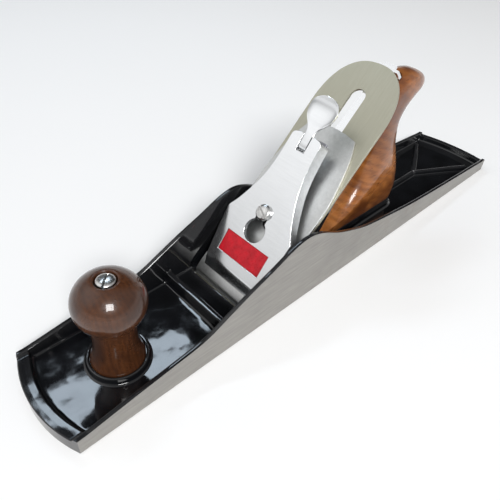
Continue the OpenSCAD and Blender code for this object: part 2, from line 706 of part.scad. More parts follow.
module cap_spring() {
    color([0.35, 0.35, 0.38]) on_cap() difference() {
        union() {
            translate([rivet_p - 5, -3.5, -1.2]) cube([12, 7, 1.2]);
            // Leaf that slopes down to a foot just above the cap iron
            side_plate([[rivet_p + 6, 0], [rivet_p + 6, -1.2], [88, -5.8], [98, -11.6], [106, -16.5],
                [110, -18.1], [114, -18.4], [114, -17.4], [110.3, -17], [106.4, -15.3], [98.5, -10.5],
                [88.5, -4.7]], 7);
        }
        translate([rivet_p, 0, -10]) cylinder(r = spring_rivet_r, h = far);
    }
}

module spring_rivet() {
    color("silver") on_cap() translate([rivet_p, 0, 0]) {
        translate([0, 0, -1.2]) cylinder(r = spring_rivet_r, h = 3);
        translate([0, 0, -2]) cylinder(r = 2.8, h = 0.8);
    }
}

body_casting();
front_knob();
knob_rod();
knob_nut();
rear_tote();
tote_rod();
tote_nut();
tote_toe_screw();
frog();
frog_screws();
frog_washers();
frog_adjust_screw();
frog_adjust_plate();
frog_plate_screw();
yoke();
yoke_pin();
depth_stud();
depth_nut();
lateral_lever();
lateral_rivet();
lateral_disc();
disc_rivet();
cutter_iron();
cap_iron();
cap_iron_screw();
lever_cap();
badge_panel();
lever_cap_screw();
cam_lever();
cam_pin();
cap_spring();
spring_rivet();
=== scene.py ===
import math

import bmesh
import bpy
from mathutils import Matrix, Vector


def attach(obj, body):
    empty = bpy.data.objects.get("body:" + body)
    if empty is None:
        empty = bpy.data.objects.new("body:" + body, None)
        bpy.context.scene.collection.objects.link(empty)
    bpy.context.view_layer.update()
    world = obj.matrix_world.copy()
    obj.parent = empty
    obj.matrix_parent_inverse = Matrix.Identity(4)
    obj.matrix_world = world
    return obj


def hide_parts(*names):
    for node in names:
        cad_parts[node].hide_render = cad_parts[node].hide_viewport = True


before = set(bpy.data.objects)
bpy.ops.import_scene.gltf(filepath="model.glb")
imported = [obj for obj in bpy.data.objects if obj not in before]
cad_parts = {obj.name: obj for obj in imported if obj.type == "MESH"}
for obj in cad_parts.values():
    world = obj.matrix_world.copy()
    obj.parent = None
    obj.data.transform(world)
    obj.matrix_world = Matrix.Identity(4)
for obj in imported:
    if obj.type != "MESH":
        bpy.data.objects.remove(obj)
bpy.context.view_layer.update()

MM = 0.001
C45 = math.sqrt(0.5)

# ---- Sizes shared by the pieces, in millimetres, as in the CAD model ----
EDGE_X = 89.9          # cutting edge
IRON_T = 2.0
IRON_L = 192.0
IRON_W = 60.0
KNOB_X = 173.5
KNOB_Z = 6.0           # seat of the knob
HALF_W = 36.5          # half the body's width
INNER = 33.3           # inner face of a cheek
SOLE_T = 4.0
TOE_X, HEEL_X = 220.0, -224.0      # corners of the sole
TOE_BULGE, HEEL_BULGE = 8.5, 4.5
MOUTH_X = 91.5
CAP_S, CAP_LIFT, CAP_TILT = 12.0, 3.9, math.radians(8.6)
CAP_L = 113.0
CAP_PLATE = 3.2
CAM_P, CAM_Q = 106.0, -0.8
SCREW_S = 66.0         # lever cap screw, up the bed
HEAD_W = CAP_LIFT + (SCREW_S - CAP_S) * math.tan(CAP_TILT) + CAP_PLATE / math.cos(CAP_TILT) - 0.6
KEY_P = (SCREW_S - CAP_S) / math.cos(CAP_TILT)
KEY_DROP = 13.4
KEY_NECK_R, KEY_HEAD_R = 4.6, 8.4
STUD_Z = 36.0
YOKE_S, YOKE_DEPTH = 86.2, 12.66   # yoke's pin, up the bed and below it
FROG_BACK_X = EDGE_X - 62.4
FROG_SCREW_X, FROG_SCREW_Y = EDGE_X - 37, 13
ADJUST_Z = 9.5         # frog adjusting screw
PLATE_BOLT_X, PLATE_BOLT_Z = EDGE_X - 64.6, 22
CAP_IRON_SCREW_S = 42  # cap iron screw, up the bed
TOTE_SCREW_X = 1
TOTE_ROD_X, TOTE_ROD_Z, TOTE_ROD_LEAN = -91, 2.2, math.radians(11.8)


def bed():
    """Local X runs up the bed, local Z stands off the iron's upper face."""
    return Matrix(((-C45, 0, C45, EDGE_X), (0, -1, 0, 0), (C45, 0, C45, 0), (0, 0, 0, 1)))


def cap_frame():
    """Local X runs up the lever cap, local Z off its face."""
    return bed() @ Matrix.Translation((CAP_S, 0, CAP_LIFT)) @ Matrix.Rotation(-CAP_TILT, 4, "Y")


def along_x(x, z):
    """Local Z points to the toe."""
    return Matrix.Translation((x, 0, z)) @ Matrix.Rotation(math.pi / 2, 4, "Y")


# ---- Curves ----
def curve(points, n):
    """Catmull-Rom curve through the points, n steps a span."""
    out = []
    last = len(points) - 1
    for i in range(last):
        a, b = points[max(i - 1, 0)], points[i]
        c, d = points[i + 1], points[min(i + 2, last)]
        for k in range(n):
            t = k / n
            out.append(tuple(
                0.5 * (2 * q + (r - p) * t + (2 * p - 5 * q + 4 * r - s) * t * t
                       + (3 * q - p - 3 * r + s) * t ** 3)
                for p, q, r, s in zip(a, b, c, d)))
    out.append(tuple(points[-1]))
    return out


def table_value(points, x):
    """Piecewise linear lookup in a list of (x, value) sorted by rising x."""
    if x <= points[0][0]:
        return points[0][1]
    for (x0, v0), (x1, v1) in zip(points, points[1:]):
        if x <= x1:
            return v0 + (v1 - v0) * (x - x0) / (x1 - x0)
    return points[-1][1]


def smooth_step(t):
    """0 up to t = 0, 1 from t = 1 on, and smooth between."""
    t = min(max(t, 0.0), 1.0)
    return t * t * (3 - 2 * t)


# ---- Mesh helpers: every list of points is in millimetres ----
def raw_mesh(name, verts, faces, matrix=None):
    """A mesh in metres from points in millimetres."""
    m = matrix or Matrix.Identity(4)
    mesh = bpy.data.meshes.new(name)
    mesh.from_pydata([tuple((m @ Vector(v)) * MM) for v in verts], [], faces)
    return mesh


def finish_mesh(name, verts, faces, body, materials, replaces, sharp, matrix=None):
    mesh = raw_mesh(name, verts, faces, matrix)
    mesh.validate()
    return finish_object(name, mesh, body, materials, replaces, sharp)


def finish_object(name, mesh, body, materials, replaces, sharp):
    """Cleans and shades the mesh, and makes it a piece of the body. sharp is the crease angle in degrees."""
    bm = bmesh.new()
    bm.from_mesh(mesh)
    bmesh.ops.remove_doubles(bm, verts=bm.verts, dist=1e-6)
    bmesh.ops.dissolve_degenerate(bm, edges=bm.edges, dist=1e-7)
    bmesh.ops.recalc_face_normals(bm, faces=bm.faces)
    for f in bm.faces:
        f.smooth = True
    bm.to_mesh(mesh)
    bm.free()
    mesh.set_sharp_from_angle(angle=math.radians(sharp))
    for mat in materials:
        mesh.materials.append(mat)
    obj = bpy.data.objects.new(name, mesh)
    bpy.context.scene.collection.objects.link(obj)
    even = obj.modifiers.new("even", "WEIGHTED_NORMAL")
    even.keep_sharp = True
    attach(obj, body)
    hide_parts(*replaces)
    return obj


class Shells:
    """Collects closed shells, in millimetres, into one mesh."""

    def __init__(self):
        self.verts = []
        self.faces = []

    def add(self, verts, faces, matrix=None):
        base = len(self.verts)
        m = matrix or Matrix.Identity(4)
        self.verts += [tuple(m @ Vector(v)) for v in verts]
        self.faces += [tuple(i + base for i in f) for f in faces]
        return self

    def rings(self, rings, matrix=None):
        """Closed rings of equal length joined one to the next, with both ends capped."""
        n = len(rings[0])
        verts = [p for r in rings for p in r]
        faces = []
        for k in range(len(rings) - 1):
            for i in range(n):
                j = (i + 1) % n
                faces.append((k * n + i, k * n + j, (k + 1) * n + j, (k + 1) * n + i))
        faces.append(tuple(range(n - 1, -1, -1)))
        faces.append(tuple((len(rings) - 1) * n + i for i in range(n)))
        return self.add(verts, faces, matrix)

    def lathe(self, profile, segments, matrix=None, radius=None):
        """Profile of (r, z) turned about Z. radius(r, angle) may change the radius."""
        verts, faces, index = [], [], []
        for r, z in profile:
            if r < 1e-6:
                index.append([len(verts)] * segments)
                verts.append((0, 0, z))
                continue
            row = []
            for i in range(segments):
                a = 2 * math.pi * i / segments
                rr = radius(r, a) if radius else r
                row.append(len(verts))
                verts.append((rr * math.cos(a), rr * math.sin(a), z))
            index.append(row)
        for k in range(len(index) - 1):
            for i in range(segments):
                j = (i + 1) % segments
                face = []
                for v in (index[k][i], index[k][j], index[k + 1][j], index[k + 1][i]):
                    if v not in face:
                        face.append(v)
                if len(face) > 2:
                    faces.append(tuple(face))
        return self.add(verts, faces, matrix)

    def prism(self, outline, y0, y1, edge):
        """Outline of (x, z) drawn out along Y, with its two ends eased by edge."""
        cx = sum(p[0] for p in outline) / len(outline)
        cz = sum(p[1] for p in outline) / len(outline)
        rings = []
        for y, inset in ((y0, edge), (y0 + edge, 0), (y1 - edge, 0), (y1, edge)):
            ring = []
            for x, z in outline:
                d = math.hypot(x - cx, z - cz) or 1
                ring.append((x - (x - cx) / d * inset, y, z - (z - cz) / d * inset))
            rings.append(ring)
        return self.rings(rings)


def screw_head(shells, matrix, r, h, slot_w, slot_d, dome=0.35):
    """A domed head with a slot along X, whose walls are part of the same skin."""
    rows = [(r, 0.0), (r, h * 0.62), (r * 0.985, h * 0.74), (r * 0.93, h * 0.84), (r * 0.8, h * 0.93),
            (r * 0.62, h * 0.97), (r * 0.4, h * 0.99), (r * 0.18, h)]
    bm = bmesh.new()
    n = 48
    loops = []
    for rr, z in rows:
        height = z + dome * (1 - (rr / r) ** 2) if z > h * 0.8 else z
        loops.append([bm.verts.new((rr * math.cos(2 * math.pi * i / n), rr * math.sin(2 * math.pi * i / n),
                                    height)) for i in range(n)])
    for a, b in zip(loops, loops[1:]):
        for i in range(n):
            bm.faces.new((a[i], a[(i + 1) % n], b[(i + 1) % n], b[i]))
    bm.faces.new(list(reversed(loops[0])))
    bm.faces.new(loops[-1])
    # Cut the head with the slot's two side planes, then push the middle strip down
    for side in (-1, 1):
        geom = bm.verts[:] + bm.edges[:] + bm.faces[:]
        bmesh.ops.bisect_plane(bm, geom=geom, plane_co=(0, side * slot_w / 2, 0), plane_no=(0, side, 0))
    strip = [f for f in bm.faces if f.calc_center_median().z > h * 0.5
             and abs(f.calc_center_median().y) < slot_w / 2 - 1e-4]
    floor_z = h - slot_d
    low = [f for f in strip if min(v.co.z for v in f.verts) > floor_z + 0.05]
    out = bmesh.ops.extrude_face_region(bm, geom=low)
    for v in [g for g in out["geom"] if isinstance(g, bmesh.types.BMVert)]:
        v.co.z = floor_z
    bmesh.ops.delete(bm, geom=low, context="FACES")
    bmesh.ops.recalc_face_normals(bm, faces=bm.faces)
    # The cuts leave points and faces in an order that changes from run to run, so they are sorted
    points = sorted({v.co[:] for v in bm.verts})
    place = {point: i for i, point in enumerate(points)}
    faces = []
    for f in bm.faces:
        ring = [place[v.co[:]] for v in f.verts]
        first = ring.index(min(ring))
        faces.append(tuple(ring[first:] + ring[:first]))
    bm.free()
    shells.add(points, sorted(faces), matrix)


def plate_mesh(outlines, z0, z1, bevel=0.3, cuts=(), shape=None, resolution=2):
    """A flat plate with holes and rounded edges. cuts are x positions where rows of points are added,
    and shape(x, y, z) returns the bent point."""
    data = bpy.data.curves.new("work", "CURVE")
    data.dimensions = "2D"
    data.fill_mode = "BOTH"
    data.extrude = (z1 - z0) / 2 - bevel
    data.bevel_depth = bevel
    data.bevel_resolution = resolution
    data.offset = -bevel
    for line in outlines:
        s = data.splines.new("POLY")
        s.points.add(len(line) - 1)
        for p, q in zip(s.points, line):
            p.co = (q[0], q[1], 0, 1)
        s.use_cyclic_u = True
    obj = bpy.data.objects.new("work", data)
    bpy.context.scene.collection.objects.link(obj)
    bpy.context.view_layer.update()
    mesh = bpy.data.meshes.new_from_object(obj.evaluated_get(bpy.context.evaluated_depsgraph_get()))
    bpy.data.objects.remove(obj)
    bpy.data.curves.remove(data)
    bm = bmesh.new()
    bm.from_mesh(mesh)
    bmesh.ops.remove_doubles(bm, verts=bm.verts, dist=1e-4)
    for x in cuts:
        geom = bm.verts[:] + bm.edges[:] + bm.faces[:]
        bmesh.ops.bisect_plane(bm, geom=geom, plane_co=(x, 0, 0), plane_no=(1, 0, 0))
    mid = (z0 + z1) / 2
    for v in bm.verts:
        x, y, z = v.co.x, v.co.y, v.co.z + mid
        v.co = shape(x, y, z) if shape else (x, y, z)
    bm.to_mesh(mesh)
    bm.free()
    verts = [tuple(v.co) for v in mesh.vertices]
    faces = [tuple(p.vertices) for p in mesh.polygons]
    bpy.data.meshes.remove(mesh)
    return verts, faces


def arc(cx, cy, r, a0, a1, n):
    """Points of an arc, angles in degrees."""
    return [(cx + r * math.cos(math.radians(a0 + (a1 - a0) * i / n)),
             cy + r * math.sin(math.radians(a0 + (a1 - a0) * i / n))) for i in range(n + 1)]


def slot_outline(x0, x1, r, n=14):
    """A slot with round ends, as a closed line."""
    return arc(x1, 0, r, -90, 90, n) + arc(x0, 0, r, 90, 270, n)


def rectangle(x0, x1, half):
    return [(x0, -half), (x1, -half), (x1, half), (x0, half)]


def mirrored(half):
    """Half an outline above y = 0, closed with its mirror image."""
    return list(half) + [(x, -y) for x, y in reversed(half) if abs(y) > 1e-6]


# ---- Materials ----
class Graph:
    """Short names for the shader nodes that the materials and the world are built from."""

    def __init__(self, tree):
        self.tree = tree

    def link(self, value, socket):
        """Sets a number or colour, or links an output."""
        if isinstance(value, bpy.types.NodeSocket):
            self.tree.links.new(value, socket)
        else:
            socket.default_value = value

    def ramp(self, fac, *stops):
        """Colour ramp from (place, value) pairs. A value is a grey number or an (r, g, b)."""
        n = self.tree.nodes.new("ShaderNodeValToRGB")
        self.link(fac, n.inputs["Fac"])
        points = n.color_ramp.elements
        while len(points) < len(stops):
            points.new(0.5)
        for point, (place, value) in zip(points, stops):
            point.position = place
            point.color = (*value, 1) if isinstance(value, tuple) else (value, value, value, 1)
        return n.outputs["Color"]

    def mix(self, fac, a, b, blend="MIX"):
        n = self.tree.nodes.new("ShaderNodeMix")
        n.data_type = "RGBA"
        n.blend_type = blend
        self.link(fac, n.inputs["Factor"])
        for value, socket in ((a, n.inputs["A"]), (b, n.inputs["B"])):
            self.link((*value, 1) if isinstance(value, tuple) else value, socket)
        return n.outputs["Result"]

    def math(self, operation, a, b=0.0):
        n = self.tree.nodes.new("ShaderNodeMath")
        n.operation = operation
        self.link(a, n.inputs[0])
        self.link(b, n.inputs[1])
        return n.outputs[0]

    def axis(self, vector, which):
        n = self.tree.nodes.new("ShaderNodeSeparateXYZ")
        self.link(vector, n.inputs[0])
        return n.outputs[which]

    def facing(self, vector, direction):
        """How far a vector points along a direction."""
        n = self.tree.nodes.new("ShaderNodeVectorMath")
        n.operation = "DOT_PRODUCT"
        self.link(vector, n.inputs[0])
        n.inputs[1].default_value = direction
        return n.outputs["Value"]


class Nodes(Graph):
    """The nodes of one new material."""

    def __init__(self, name):
        self.mat = bpy.data.materials.new(name)
        self.mat.use_nodes = True
        super().__init__(self.mat.node_tree)
        self.bsdf = self.tree.nodes["Principled BSDF"]
        self.coords = self.tree.nodes.new("ShaderNodeTexCoord").outputs["Object"]

    def stretch(self, scale, turn=(0, 0, 0), shift=(0, 0, 0)):
        n = self.tree.nodes.new("ShaderNodeMapping")
        self.link(self.coords, n.inputs["Vector"])
        n.inputs["Scale"].default_value = scale
        n.inputs["Rotation"].default_value = [math.radians(a) for a in turn]
        n.inputs["Location"].default_value = shift
        return n.outputs[0]

    def noise(self, scale, detail=3, rough=0.5, vector=None, distortion=0.0):
        """Noise whose blobs are about 1 / scale metres across."""
        n = self.tree.nodes.new("ShaderNodeTexNoise")
        self.link(vector or self.coords, n.inputs["Vector"])
        n.inputs["Scale"].default_value = scale
        n.inputs["Detail"].default_value = detail
        n.inputs["Roughness"].default_value = rough
        n.inputs["Distortion"].default_value = distortion
        return n.outputs["Fac"]

    def wave(self, scale, distortion, detail, detail_scale, vector):
        """Bands across X."""
        n = self.tree.nodes.new("ShaderNodeTexWave")
        n.wave_type = "BANDS"
        n.bands_direction = "X"
        self.link(vector, n.inputs["Vector"])
        n.inputs["Scale"].default_value = scale
        n.inputs["Distortion"].default_value = distortion
        n.inputs["Detail"].default_value = detail
        n.inputs["Detail Scale"].default_value = detail_scale
        return n.outputs["Fac"]

    def cells(self, scale):
        n = self.tree.nodes.new("ShaderNodeTexVoronoi")
        self.link(self.coords, n.inputs["Vector"])
        n.inputs["Scale"].default_value = scale
        return n.outputs["Distance"]

    def wear(self, width):
        """1 on outside edges, 0 on flat faces."""
        n = self.tree.nodes.new("ShaderNodeNewGeometry")
        return self.ramp(n.outputs["Pointiness"], (0.5, 0.0), (0.5 + width, 1.0))

    def bump(self, height, distance, normal=None):
        """A bump whose height is the value times distance, in metres."""
        n = self.tree.nodes.new("ShaderNodeBump")
        n.inputs["Strength"].default_value = 1.0
        n.inputs["Distance"].default_value = distance
        self.link(height, n.inputs["Height"])
        if normal:
            self.link(normal, n.inputs["Normal"])
        return n.outputs[0]

    def set(self, **values):
        """Sets the shader's inputs. A name has _ for each space."""
        for key, value in values.items():
            socket = self.bsdf.inputs[key.replace("_", " ")]
            self.link((*value, 1) if isinstance(value, tuple) else value, socket)
        return self.mat


def srgb(r, g, b):
    """Linear colour from 8-bit sRGB values."""
    return tuple(c / 12.92 if c <= 0.04045 else ((c + 0.055) / 1.055) ** 2.4
                 for c in (r / 255, g / 255, b / 255))


def japan_paint(name, wave_height):
    """Thick black gloss paint that has flowed over a casting, with a few specks and worn edges."""
    n = Nodes(name)
    slow = n.noise(62, 1, 0.3)
    lumps = n.noise(150, 1, 0.4)
    dust = n.ramp(n.cells(150), (0.0, 1.0), (0.035, 0.0))
    normal = n.bump(slow, wave_height)
    normal = n.bump(lumps, wave_height * 0.12, normal=normal)
    normal = n.bump(dust, 0.00006, normal=normal)
    colour = n.mix(n.ramp(slow, (0.3, 0.0), (0.7, 1.0)), (0.003, 0.0033, 0.004), (0.006, 0.0065, 0.008))
    colour = n.mix(n.math("MULTIPLY", n.wear(0.06), 0.35), colour, (0.04, 0.04, 0.042))
    return n.set(Base_Color=colour, Roughness=n.ramp(lumps, (0.3, 0.05), (0.75, 0.1)), Normal=normal,
                 Specular_IOR_Level=0.5, Coat_Weight=0.15, Coat_Roughness=0.03)


def ground_metal(name, light, dark, rough_low, rough_high, lines, stain=None, lines_depth=0.00001,
                 blotch=45, turn=(0, 0, 0)):
    """Metal with a ground or brushed finish. lines is the scratches' noise scale on each axis, and stain is
    a colour, the places along X where it starts and is full, and its strength."""
    n = Nodes(name)
    scratch = n.noise(1.0, 5, 0.65, n.stretch(lines, turn))
    fine = n.noise(1.0, 3, 0.6, n.stretch(tuple(3.1 * v for v in lines), turn, (3.7, 1.3, 0.4)))
    cloud = n.noise(blotch, 4, 0.6)
    colour = n.mix(n.ramp(scratch, (0.3, 0.0), (0.7, 1.0)), dark, light)
    colour = n.mix(n.math("MULTIPLY", n.ramp(cloud, (0.45, 0.0), (0.75, 1.0)), 0.45), colour, dark)
    if stain:
        stain_colour, start, full, strength = stain
        spots = n.ramp(n.noise(95, 5, 0.7), (0.56, 0.0), (0.72, 1.0))
        along = n.math("DIVIDE", n.math("SUBTRACT", n.axis(n.coords, "X"), start), full - start)
        reach = n.ramp(along, (0.0, 0.0), (1.0, 1.0))
        spots = n.math("MULTIPLY", n.math("MULTIPLY", spots, reach), strength)
        colour = n.mix(spots, colour, stain_colour)
    rough = n.math("ADD", n.math("MULTIPLY", scratch, rough_high - rough_low),
                   n.math("ADD", n.math("MULTIPLY", cloud, 0.08), rough_low))
    normal = n.bump(scratch, lines_depth)
    normal = n.bump(fine, lines_depth * 0.5, normal=normal)
    return n.set(Base_Color=colour, Roughness=rough, Metallic=1.0, Normal=normal)


def gloss_wood(name, base, dark, light, grain, turn, figure):
    """Lacquered wood: long grain bands drawn out along one axis, pores, and a cloudy figure."""
    n = Nodes(name)
    along = n.stretch(grain, turn)
    bands = n.wave(1.0, 5.5, 3, 1.3, along)
    streaks = n.noise(1.0, 6, 0.65, n.stretch(tuple(v * 3 for v in grain), turn), 0.6)
    cloud = n.noise(figure, 3, 0.55, distortion=0.8)
    pores = n.ramp(n.noise(1.0, 2, 0.5, n.stretch(tuple(v * 9 for v in grain), turn)),
                   (0.62, 0.0), (0.7, 1.0))
    colour = n.mix(n.ramp(bands, (0.1, 0.55), (0.9, 1.0)), dark, base)
    colour = n.mix(n.math("MULTIPLY", n.ramp(streaks, (0.4, 0.0), (0.7, 1.0)), 0.5), colour, light)
    colour = n.mix(n.math("MULTIPLY", n.ramp(cloud, (0.42, 0.0), (0.62, 1.0)), 0.85), colour, dark)
    colour = n.mix(n.math("MULTIPLY", pores, 0.45), colour, tuple(v * 0.35 for v in dark))
    normal = n.bump(streaks, 0.00006)
    normal = n.bump(pores, 0.00005, normal=normal)
    rough = n.ramp(cloud, (0.3, 0.24), (0.7, 0.36))
    return n.set(Base_Color=colour, Roughness=rough, Normal=normal, Specular_IOR_Level=0.25, Coat_Weight=0.6,
                 Coat_Roughness=0.04, Coat_Normal=n.bump(n.noise(160, 2, 0.5), 0.00008))


def enamel(name, base, deep):
    """Enamel with a faint ripple."""
    n = Nodes(name)
    cloud = n.noise(220, 3, 0.5)
    ripple = n.noise(900, 2, 0.5)
    colour = n.mix(n.ramp(cloud, (0.35, 0.0), (0.7, 1.0)), base, deep)
    return n.set(Base_Color=colour, Roughness=n.ramp(ripple, (0.3, 0.24), (0.7, 0.38)),
                 Normal=n.bump(ripple, 0.00003), Specular_IOR_Level=0.3, Coat_Weight=0.12)


japan = japan_paint("japan_black", 0.0005)
japan_frog = japan_paint("japan_frog", 0.0003)
ground = ground_metal("ground_iron", (0.44, 0.425, 0.40), (0.30, 0.29, 0.275), 0.32, 0.5, (40, 30, 900),
                      stain=((0.24, 0.16, 0.10), 0.10, -0.16, 0.35), blotch=38)
knob_wood = gloss_wood("knob_wood", srgb(74, 43, 25), srgb(50, 28, 17), srgb(92, 56, 32),
                       (110, 110, 20), (0, 0, 0), 36)
tote_wood = gloss_wood("tote_wood", srgb(156, 94, 46), srgb(84, 42, 19), srgb(186, 124, 66),
                       (26, 26, 90), (0, -24, 0), 17)
bright_steel = ground_metal("bright_steel", (0.78, 0.77, 0.76), (0.6, 0.6, 0.59), 0.14, 0.3, (300, 300, 60),
                            blotch=300)
zinc_steel = ground_metal("zinc_steel", (0.62, 0.62, 0.63), (0.48, 0.48, 0.5), 0.22, 0.42, (200, 200, 200),
                          blotch=200)
nickel = ground_metal("nickel_plate", (0.86, 0.875, 0.89), (0.81, 0.825, 0.84), 0.1, 0.16, (700, 60, 700),
                      blotch=40, lines_depth=0.000002, turn=(0, 45, 0))
# A darker, rougher copy of the nickel for the lever cap's edges and side walls: partly a duller finish,
# partly painted shade
nickel_shaded_side = ground_metal("nickel_shaded_side", (0.5, 0.51, 0.52), (0.36, 0.37, 0.38), 0.4, 0.55, (420, 420, 420),
                           blotch=60)
iron_steel = ground_metal("iron_steel", srgb(182, 180, 164), srgb(174, 171, 154), 0.36, 0.42, (60, 900, 60),
                          blotch=30, lines_depth=0.000002, turn=(0, 45, 0))
cap_iron_steel = ground_metal("cap_iron_steel", srgb(208, 209, 208), srgb(190, 191, 190), 0.3, 0.42,
                              (420, 420, 420), blotch=50, lines_depth=0.00001)
spring_steel = ground_metal("spring_steel", (0.3, 0.3, 0.33), (0.2, 0.2, 0.22), 0.25, 0.4, (60, 900, 60))
brass = ground_metal("adjuster_brass", (0.72, 0.52, 0.24), (0.55, 0.38, 0.16), 0.18, 0.34, (90, 900, 900))
dark_steel = ground_metal("dark_steel", (0.34, 0.34, 0.35), (0.24, 0.24, 0.25), 0.3, 0.5, (220, 220, 220))
red_enamel = enamel("badge_enamel", srgb(196, 18, 36), srgb(168, 12, 28))


# ---- Body casting ----
CHEEK_CURVE = [(215, 12), (186, 16.2), (160, 19.5), (135, 23.2), (117, 31), (99, 39.2), (80, 47), (64, 54.2),
               (50, 57.3), (36, 54), (15, 43.5), (-3, 36.5), (-21, 31), (-49, 26.3), (-91, 20.5), (-149, 16),
               (-219, 11.5)]
LIP_H, RIB_H = 10.0, 13.0
RIB_HEEL_X, RIB_TOE_X = 109, 113
PAST_BODY = 240        # past both ends of the sole
TOE_TAPER_X, HEEL_TAPER_X, TAPER = 150, -160, 55   # where the ends begin to round, and over what length
STATION_STEP, STATION_GAP = 3.0, 1.2   # wanted distance of the cross sections, and the least one
ROOT_Z = 3.4           # how deep the raised parts are sunk into the floor


def bulge(y, depth):
    """1 at the middle and 0 at the sides, along the arc of a rounded end."""
    r = (HALF_W ** 2 + depth ** 2) / (2 * depth)
    return (math.sqrt(r * r - y * y) - (r - depth)) / depth


def step_up(x, height, side):
    """Floor profile of a filleted step from the floor at x + 4.2 * side up to height past x."""
    return [(x + 4.2 * side, SOLE_T), (x + 2.4 * side, SOLE_T + 0.15), (x + 1.2 * side, SOLE_T + 0.75),
            (x + 0.6 * side, SOLE_T + 1.9), (x + 0.2 * side, height - 1.1), (x - 0.1 * side, height - 0.35),
            (x - 0.8 * side, height)]


def floor_profile():
    """Height of the tray's floor, with the two lips and the cross rib, as (x, z)."""
    lip_in_heel, lip_in_toe = HEEL_X + 4.5, TOE_X - 7.5
    points = [(HEEL_X, LIP_H - 0.5), (HEEL_X + 0.5, LIP_H)]
    points += list(reversed(step_up(lip_in_heel, LIP_H, 1)))
    points += step_up(RIB_HEEL_X, RIB_H, -1) + list(reversed(step_up(RIB_TOE_X, RIB_H, 1)))
    points += step_up(lip_in_toe, LIP_H, -1)
    points += [(TOE_X - 0.6, LIP_H), (TOE_X, LIP_H - 0.6)]
    return points


def end_shift(x, y):
    """How far the rounded ends move a point of the cross section at x."""
    toe = smooth_step((x - TOE_TAPER_X) / TAPER)
    heel = smooth_step((HEEL_TAPER_X - x) / TAPER)
    return TOE_BULGE * toe * bulge(y, TOE_BULGE) - HEEL_BULGE * heel * bulge(y, HEEL_BULGE)


def body_shell():
    """Sole, cheeks, lips and cross rib as one skin, with the mouth left open."""
    cheek = sorted(curve(CHEEK_CURVE, 6))
    cheek = [(-PAST_BODY, cheek[0][1])] + cheek + [(PAST_BODY, 11.6)]
    profile = floor_profile()
    mouth_rear, mouth_rear_sole = MOUTH_X - 9.5, MOUTH_X - 5.5
    stations = [x for x, _ in profile] + [mouth_rear, MOUTH_X]
    x = HEEL_X
    while x < TOE_X:
        if all(abs(x - s) > STATION_GAP for s in stations) and not mouth_rear < x < MOUTH_X:
            stations.append(x)
        x += STATION_STEP
    stations.sort()
    floor_y = [31.3, 28, 24, 20, 16, 12, 8, 4]
    floor_y = floor_y + [0] + [-y for y in reversed(floor_y)]
    fillet_r = 2
    fillet = [(INNER - fillet_r * (1 - math.sin(a)), fillet_r * (1 - math.cos(a)))
              for a in (math.radians(t) for t in (0, 22, 45, 68, 90))]
    verts, top_rows, sole_rows = [], [], []
    for x in stations:
        t, f = table_value(cheek, x), table_value(profile, x)
        # The fillet between floor and cheek is flattened where the cheek is low
        room = max(t - 0.9 - f, 0.3)
        squeeze = min(1.0, room / fillet_r)
        side = [(HALF_W - 0.4, 0), (HALF_W, 0.4), (HALF_W, t * 0.5), (HALF_W, t - 0.45),
                (HALF_W - 0.14, t - 0.12), (HALF_W - 0.6, t), (INNER + 1.3, t), (INNER + 0.5, t - 0.2),
                (INNER, t - 0.8)]
        side += [(y, f + h * squeeze) for y, h in reversed(fillet[1:])]
        across = side + [(y, f) for y in floor_y] + [(-y, z) for y, z in reversed(side)]
        top, sole = [], []
        for y, z in across:
            top.append(len(verts))
            verts.append((x + end_shift(x, y), y, z))
        sole_x = mouth_rear_sole if x == mouth_rear else x
        for y in floor_y:
            sole.append(len(verts))
            verts.append((sole_x + end_shift(x, y), y, 0))
        top_rows.append(top)
        sole_rows.append(sole)
    n, m = len(top_rows[0]), len(floor_y)
    edge = (n - m) // 2
    faces = []
    for k in range(len(stations) - 1):
        a, b, c, d = top_rows[k], top_rows[k + 1], sole_rows[k], sole_rows[k + 1]
        mouth = stations[k] == mouth_rear
        for i in range(n - 1):
            if not (mouth and edge <= i < edge + m - 1):
                faces.append((a[i], a[i + 1], b[i + 1], b[i]))
        if not mouth:
            for i in range(m - 1):
                faces.append((c[i], d[i], d[i + 1], c[i + 1]))
        faces.append((a[0], b[0], d[0], c[0]))
        faces.append((a[-1], c[-1], d[-1], b[-1]))
        if mouth:
            for i in range(m - 1):
                faces.append((a[edge + i], a[edge + i + 1], c[i + 1], c[i]))
                faces.append((b[edge + i], d[i], d[i + 1], b[edge + i + 1]))
            faces.append((a[edge], c[0], d[0], b[edge]))
            faces.append((a[edge + m - 1], b[edge + m - 1], d[-1], c[-1]))
    for top, sole in ((top_rows[0], sole_rows[0]), (top_rows[-1], sole_rows[-1])):
        faces.append(tuple(top[:edge + 1]) + (sole[0],))
        faces.append(tuple(top[n - edge - 1:]) + (sole[-1],))
        for i in range(m - 1):
            faces.append((top[edge + i], top[edge + i + 1], sole[i + 1], sole[i]))
    return verts, faces


